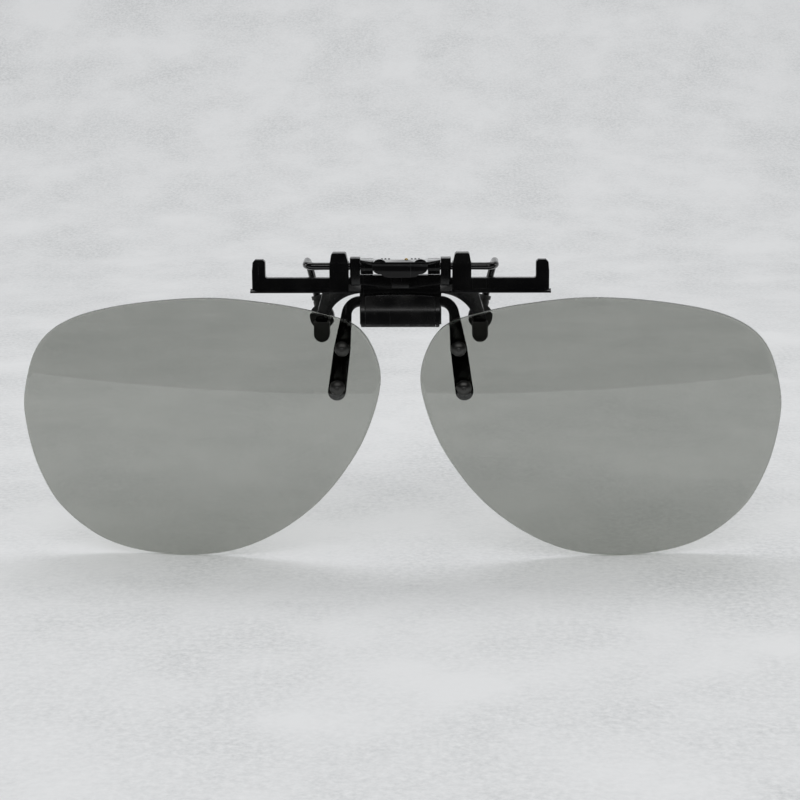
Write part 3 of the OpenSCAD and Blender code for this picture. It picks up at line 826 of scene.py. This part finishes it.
@dataclass
class Lens:
    """One rimless lens: a smooth spherical shell with a ground edge."""

    side: Side
    paints: Paints
    curve: float = 270.0
    thick: float = 0.9
    back: float = -7.02
    hold_x: float = 10.55
    hold_z: float = -6.22
    points: int = 288
    chamfer: float = 0.13
    hole_clear: float = 1.5
    steps_between: int = 6
    face_turn: float = 0.93
    shares: tuple[float, ...] = (0.06, 0.15, 0.26, 0.38, 0.5, 0.62, 0.74, 0.84, 0.92, 0.97, 1.0)

    def outline(self) -> list[Vector]:
        """Reads the lens's outline from its CAD node and spaces it evenly.

        Returns:
            Points round the outline, as X and Z in metres.
        """
        mesh = copy_of_node(f"lens_{self.side.word}")
        rim = {v for e in mesh.edges if e.is_manifold and e.calc_face_angle(0.0) > 1.0
               for v in e.verts if any(f.normal.y < -0.8 for f in e.link_faces)}
        spots = [Vector((v.co.x, v.co.z)) for v in rim]
        mesh.free()
        low = Vector((min(p.x for p in spots), min(p.y for p in spots)))
        high = Vector((max(p.x for p in spots), max(p.y for p in spots)))
        middle = (low + high) / 2
        holes = [middle_of(f"rivet_{level}_{self.side.word}") for level in LEVELS]
        spots = [p for p in spots
                 if all(math.hypot(p.x - h.x, p.y - h.z) > self.hole_clear * MM for h in holes)]
        spots.sort(key=lambda p: math.atan2(p.y - middle.y, p.x - middle.x))
        return [Vector((min(max(p.x, low.x), high.x), min(max(p.y, low.y), high.y)))
                for p in self._even(spots)]

    def _even(self, spots: Sequence[Vector]) -> list[Vector]:
        """Runs a smooth closed curve through points and spaces it evenly.

        Args:
            spots: Points in order round the outline.

        Returns:
            The evenly spaced points.
        """
        fine: list[Vector] = []
        count = len(spots)
        for i in range(count):
            a, b, c, d = (spots[(i + k - 1) % count] for k in range(4))
            for j in range(self.steps_between):
                t = j / self.steps_between
                fine.append(0.5 * (2 * b + (c - a) * t + (2 * a - 5 * b + 4 * c - d) * t * t
                                   + (3 * b - a - 3 * c + d) * t ** 3))
        lengths = [0.0]
        for a, b in zip(fine, [*fine[1:], fine[0]]):
            lengths.append(lengths[-1] + (b - a).length)
        even, at = [], 0
        for k in range(self.points):
            want = lengths[-1] * k / self.points
            while lengths[at + 1] < want:
                at += 1
            share = (want - lengths[at]) / max(lengths[at + 1] - lengths[at], 1e-12)
            even.append(fine[at].lerp(fine[(at + 1) % len(fine)], share))
        return even

    def depth(self, x: float, z: float, radius: float) -> float:
        """How deep one of the lens's round faces lies.

        Args:
            x: Where across, in metres.
            z: Where up, in metres.
            radius: The face's radius, in mm.

        Returns:
            The depth in metres.
        """
        away = math.hypot(abs(x) - self.hold_x * MM, z - self.hold_z * MM)
        return (self.back + self.curve) * MM - math.sqrt((radius * MM) ** 2 - away * away)

    def build(self) -> None:
        """Builds the lens ring by ring: out over its front, then in over its rear."""
        outline = self.outline()
        middle = sum(outline, Vector((0, 0))) / len(outline)
        front, rear = self.curve + self.thick, self.curve
        rings = [(share, front) for share in self.shares]
        rings += [(share, rear) for share in reversed(self.shares)]
        mesh = new_mesh()
        verts = bmesh.ops.create_circle(mesh, segments=self.points, radius=1.0)["verts"]
        loop = list({e for v in verts for e in v.link_edges})
        for number, (share, radius) in enumerate(rings):
            if number:
                run = bmesh.ops.extrude_edge_only(mesh, edges=loop)["geom"]
                made = {g for g in run if isinstance(g, bmesh.types.BMVert)}
                loop = [g for g in run if isinstance(g, bmesh.types.BMEdge)
                        and made.issuperset(g.verts)]
                before = {v: i for i, v in enumerate(verts)}
                verts = [None] * self.points
                for vert in made:
                    old = next(o for e in vert.link_edges
                               if (o := e.other_vert(vert)) in before)
                    verts[before[old]] = vert
            for vert, spot in zip(verts, outline):
                x, z = middle.lerp(spot, share)
                vert.co = (x, self.depth(x, z, radius), z)
            if number in (0, len(rings) - 1):
                end = bmesh.ops.contextual_create(mesh, geom=loop)["faces"]
                bmesh.ops.poke(mesh, faces=end)
        bmesh.ops.recalc_face_normals(mesh, faces=mesh.faces)
        soften(mesh, self.chamfer * MM, angle=50.0, segments=2)
        for face in mesh.faces:
            face.material_index = 0 if abs(face.normal.y) > self.face_turn else 1
        finish_piece(mesh, f"smoke_lens_{self.side.word}", self.paints, (SMOKE, GROUND_EDGE),
                     Body.CARRIER, (f"lens_{self.side.word}",), slot="tinted_lens", sharp=35.0)


@dataclass
class FlipPart:
    """The lens bridge, its cam, the lenses, the rivets and the washers."""

    paints: Paints
    arm_edge: float = 0.16
    cam_edge: float = 0.06
    washer_hole: float = 0.76
    washer_edge: float = 0.06
    head_front: float = -7.94
    head_radius: float = 1.33
    shank: float = 0.7
    tail_rear: float = -5.65

    def build(self) -> None:
        """Builds every piece that flips up."""
        mesh = copy_of_node("lens_bridge")
        soften(mesh, self.arm_edge * MM, segments=3)
        finish_piece(mesh, "lens_arms", self.paints, (LACQUER,), Body.CARRIER,
                     ("lens_bridge",))
        mesh = copy_of_node("detent_cam")
        soften(mesh, self.cam_edge * MM)
        finish_piece(mesh, "hinge_cam", self.paints, (NYLON,), Body.CARRIER, ("detent_cam",))
        for side in Side:
            Lens(side, self.paints).build()
            for level in LEVELS:
                self._rivet(side, level)
                self._washer(side, level)

    def _rivet(self, side: Side, level: str) -> None:
        """A domed rivet with a small centre mark, its shank and its closed tail.

        Args:
            side: Which lens.
            level: Upper or lower.
        """
        node = f"rivet_{level}_{side.word}"
        f, r, t = self.head_front, self.head_radius, self.tail_rear
        profile = [(0.0, f - 0.56), (0.14, f - 0.57), (0.24, f - 0.655), (0.34, f - 0.672),
                   (0.6, f - 0.6), (0.85, f - 0.47), (1.08, f - 0.3), (1.24, f - 0.14),
                   (r, f - 0.04), (r, f), (self.shank, f), (self.shank, t), (1.1, t),
                   (1.1, t + 0.05), (0.95, t + 0.16), (0.65, t + 0.3), (0.3, t + 0.38),
                   (0.0, t + 0.39)]
        mesh = turned(profile, middle_of(node))
        # The head's rim and all behind it take the lighter edge colour: scuffs that also paint a lighter
        # ring round the head.
        mark_edges(mesh, [face for face in mesh.faces
                          if face.calc_center_median().y > (f - 0.12) * MM])
        finish_piece(mesh, f"domed_{node}", self.paints, (GUNMETAL,), Body.CARRIER, (node,),
                     sharp=50.0)

    def _washer(self, side: Side, level: str) -> None:
        """A thin washer with a rounded rim.

        Args:
            side: Which lens.
            level: Upper or lower.
        """
        node = f"washer_{level}_{side.word}"
        low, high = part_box(node)
        front, rear = low.y / MM, high.y / MM
        outer = (high.x - low.x) / MM / 2
        hole, edge = self.washer_hole, self.washer_edge
        profile = [(hole, front), (outer - edge, front), (outer, front + edge),
                   (outer, rear - edge), (outer - edge, rear), (hole, rear), (hole, front)]
        mesh = turned(profile, middle_of(node))
        finish_piece(mesh, f"thin_{node}", self.paints, (WASHER_PLASTIC,), Body.CARRIER,
                     (node,))


# ---------------------------------------------------------------- the clamp


@dataclass
class Clamp:
    """The bent wire, its soft tips and the press lever."""

    paints: Paints
    tip_edge: float = 0.3
    lever_edge: float = 0.09
    # Faces pointing up more than this get the painted sheen.
    sheen_turn: float = 0.9
    stop_at: Place = (1.05, -5.1, 12.31)
    stop_radius: float = 0.34

    def build(self) -> None:
        """Builds every piece of the clamp."""
        mesh = copy_of_node("clamp_wire")
        finish_piece(mesh, "bent_wire", self.paints, (LACQUER,), Body.JAW, ("clamp_wire",))
        for side in Side:
            mesh = copy_of_node(f"wire_tip_{side.word}")
            soften(mesh, self.tip_edge * MM, angle=50.0, segments=4)
            finish_piece(mesh, f"soft_tip_{side.word}", self.paints, (RUBBER,), Body.JAW,
                         (f"wire_tip_{side.word}",))
        mesh = copy_of_node("press_lever")
        soften(mesh, self.lever_edge * MM, angle=35.0)
        # Upward faces take the lighter top finish, a painted sheen; the rest keeps the lever lacquer.
        for face in mesh.faces:
            face.material_index = 1 if face.normal.z > self.sheen_turn else 0
        finish_piece(mesh, "finger_lever", self.paints, (LEVER_LACQUER, LEVER_TOP_SHEEN), Body.JAW,
                     ("press_lever",))
        self._stop()

    def _stop(self) -> None:
        """The small brass stop on the lever's plate."""
        mesh = new_mesh()
        place = Matrix.Translation(Vector(self.stop_at) * MM)
        bmesh.ops.create_uvsphere(mesh, u_segments=24, v_segments=14,
                                  radius=self.stop_radius * MM, matrix=place)
        finish_piece(mesh, "brass_stop", self.paints, (BRASS,), Body.JAW)


# ---------------------------------------------------------------- the studio


@dataclass(frozen=True)
class SoftLight:
    """One soft light: where it hangs and points, its width and height, and its power."""

    name: str
    place: Place
    at: Place
    size: tuple[float, float]
    power: float

    def hang(self) -> None:
        """Adds the light to the scene."""
        data = bpy.data.lights.new(self.name, "AREA")
        data.shape, data.energy = "RECTANGLE", self.power
        data.size, data.size_y = self.size
        lamp = bpy.data.objects.new(self.name, data)
        bpy.context.scene.collection.objects.link(lamp)
        lamp.location = self.place
        away = Vector(self.at) - Vector(self.place)
        lamp.rotation_euler = away.to_track_quat("-Z", "Y").to_euler()


LIGHTS = (
    SoftLight("Front softbox", (0.0, -0.54, 0.48), (0.0, 0.0, 0.0), (0.9, 0.14), 1.3),
    SoftLight("Rear softbox", (0.0, 0.3, 0.62), (0.0, 0.03, 0.0), (0.9, 0.2), 1.4),
    SoftLight("Left strip", (-0.55, 0.1, 0.16), (0.0, 0.0, 0.0), (0.2, 0.3), 0.3),
    SoftLight("Right strip", (0.55, 0.1, 0.16), (0.0, 0.0, 0.0), (0.2, 0.3), 0.3),
)


@dataclass
class Studio:
    """A plain pale sweep, soft lights and the camera."""

    floor_z: float = -0.0412
    azimuth: float = 1.13
    elevation: float = 12.3
    roll: float = -0.28
    distance: float = 0.33
    lens: float = 84.8
    aim: Place = (-0.00014, -0.006, -0.01225)
    across: float = 1.2
    near: float = -0.13
    far: float = 0.75
    tall: float = 0.8
    bend: float = 0.45
    bend_steps: int = 12

    def build(self) -> None:
        """Sets up everything round the object."""
        self._sweep()
        self._world()
        for light in LIGHTS:
            light.hang()
        self._camera()

    def _sweep(self) -> None:
        """The floor and the backdrop, one smooth surface."""
        mesh = bmesh.new()
        start, bend, step = self.far - self.bend, self.bend, 90 / self.bend_steps
        rail = [(self.near, 0.0), (start, 0.0)]
        rail += [(start + bend * math.sin(a), bend * (1 - math.cos(a)))
                 for a in (math.radians(step * k) for k in range(1, self.bend_steps + 1))]
        rail.append((self.far, self.tall))
        line = [mesh.verts.new((-self.across, y, self.floor_z + z)) for y, z in rail]
        edges = [mesh.edges.new(pair) for pair in zip(line, line[1:])]
        run = bmesh.ops.extrude_edge_only(mesh, edges=edges)["geom"]
        bmesh.ops.translate(mesh, vec=(2 * self.across, 0, 0),
                            verts=[g for g in run if isinstance(g, bmesh.types.BMVert)])
        bmesh.ops.recalc_face_normals(mesh, faces=mesh.faces)
        data = bpy.data.meshes.new("studio_sweep")
        for face in mesh.faces:
            face.smooth = True
        mesh.to_mesh(data)
        mesh.free()
        data.materials.append(self._paper())
        sweep = bpy.data.objects.new("studio_sweep", data)
        bpy.context.scene.collection.objects.link(sweep)

    @staticmethod
    def _paper() -> bpy.types.Material:
        """The sweep's pale matt surface.

        Returns:
            The material.
        """
        made = bpy.data.materials.new("Pale studio felt")
        made.use_nodes = True
        nodes = Nodes(made.node_tree)
        surface = made.node_tree.nodes["Principled BSDF"]
        where = nodes.add("ShaderNodeTexCoord").outputs["Object"]
        cloudy = nodes.ramp(nodes.noise(where, 34.0, 5.0, 0.6), 0.34, 0.66)
        fibres = nodes.ramp(nodes.noise(where, 900.0, 3.0, 0.7), 0.3, 0.7)
        cloud = nodes.mix(cloudy, (0.57, 0.58, 0.585), (0.745, 0.75, 0.755))
        nodes.feed(surface.inputs["Base Color"],
                   nodes.mix(fibres, cloud, (0.76, 0.765, 0.77)))
        nodes.feed(surface.inputs["Roughness"], 0.9)
        nodes.feed(surface.inputs["Specular IOR Level"], 0.1)
        return made

    @staticmethod
    def _world() -> None:
        """Soft light from all round, kept dim where glossy surfaces mirror it."""
        world = bpy.data.worlds.new("Studio")
        bpy.context.scene.world = world
        world.use_nodes = True
        nodes = Nodes(world.node_tree)
        world.node_tree.nodes.clear()
        path = nodes.add("ShaderNodeLightPath")
        bounced = nodes.math("MINIMUM", path.outputs["Glossy Depth"], 1.0)
        mirrored = nodes.math("MULTIPLY", path.outputs["Is Glossy Ray"], bounced)
        shown = nodes.mix(mirrored, LIT_WORLD, DARK_WORLD)
        light = nodes.add("ShaderNodeBackground")
        nodes.feed(light.inputs["Color"], shown)
        end = nodes.add("ShaderNodeOutputWorld")
        nodes.feed(end.inputs["Surface"], light.outputs[0])

    def _camera(self) -> None:
        """The camera, a little above the clip and nearly straight in front."""
        a, e = math.radians(self.azimuth), math.radians(self.elevation)
        back = Vector((math.sin(a) * math.cos(e), -math.cos(a) * math.cos(e), math.sin(e)))
        data = bpy.data.cameras.new("Camera")
        data.lens, data.sensor_width = self.lens, 36.0
        data.clip_start, data.clip_end = 0.01, 10.0
        camera = bpy.data.objects.new("Camera", data)
        bpy.context.scene.collection.objects.link(camera)
        turn = (-back).to_track_quat("-Z", "Y").to_matrix().to_4x4()
        spin = Matrix.Rotation(math.radians(self.roll), 4, "Z")
        stand = Matrix.Translation(Vector(self.aim) + back * self.distance)
        camera.matrix_world = stand @ turn @ spin
        bpy.context.scene.camera = camera


def main() -> None:
    """Builds the fixed part, the flip part, the clamp and the studio."""
    logging.basicConfig(level=logging.INFO, format="%(message)s")
    bpy.context.scene.view_settings.view_transform = "Standard"
    paints = Paints()
    FixedPart(paints).build()
    FlipPart(paints).build()
    Clamp(paints).build()
    Studio().build()


if __name__ == "__main__":
    main()
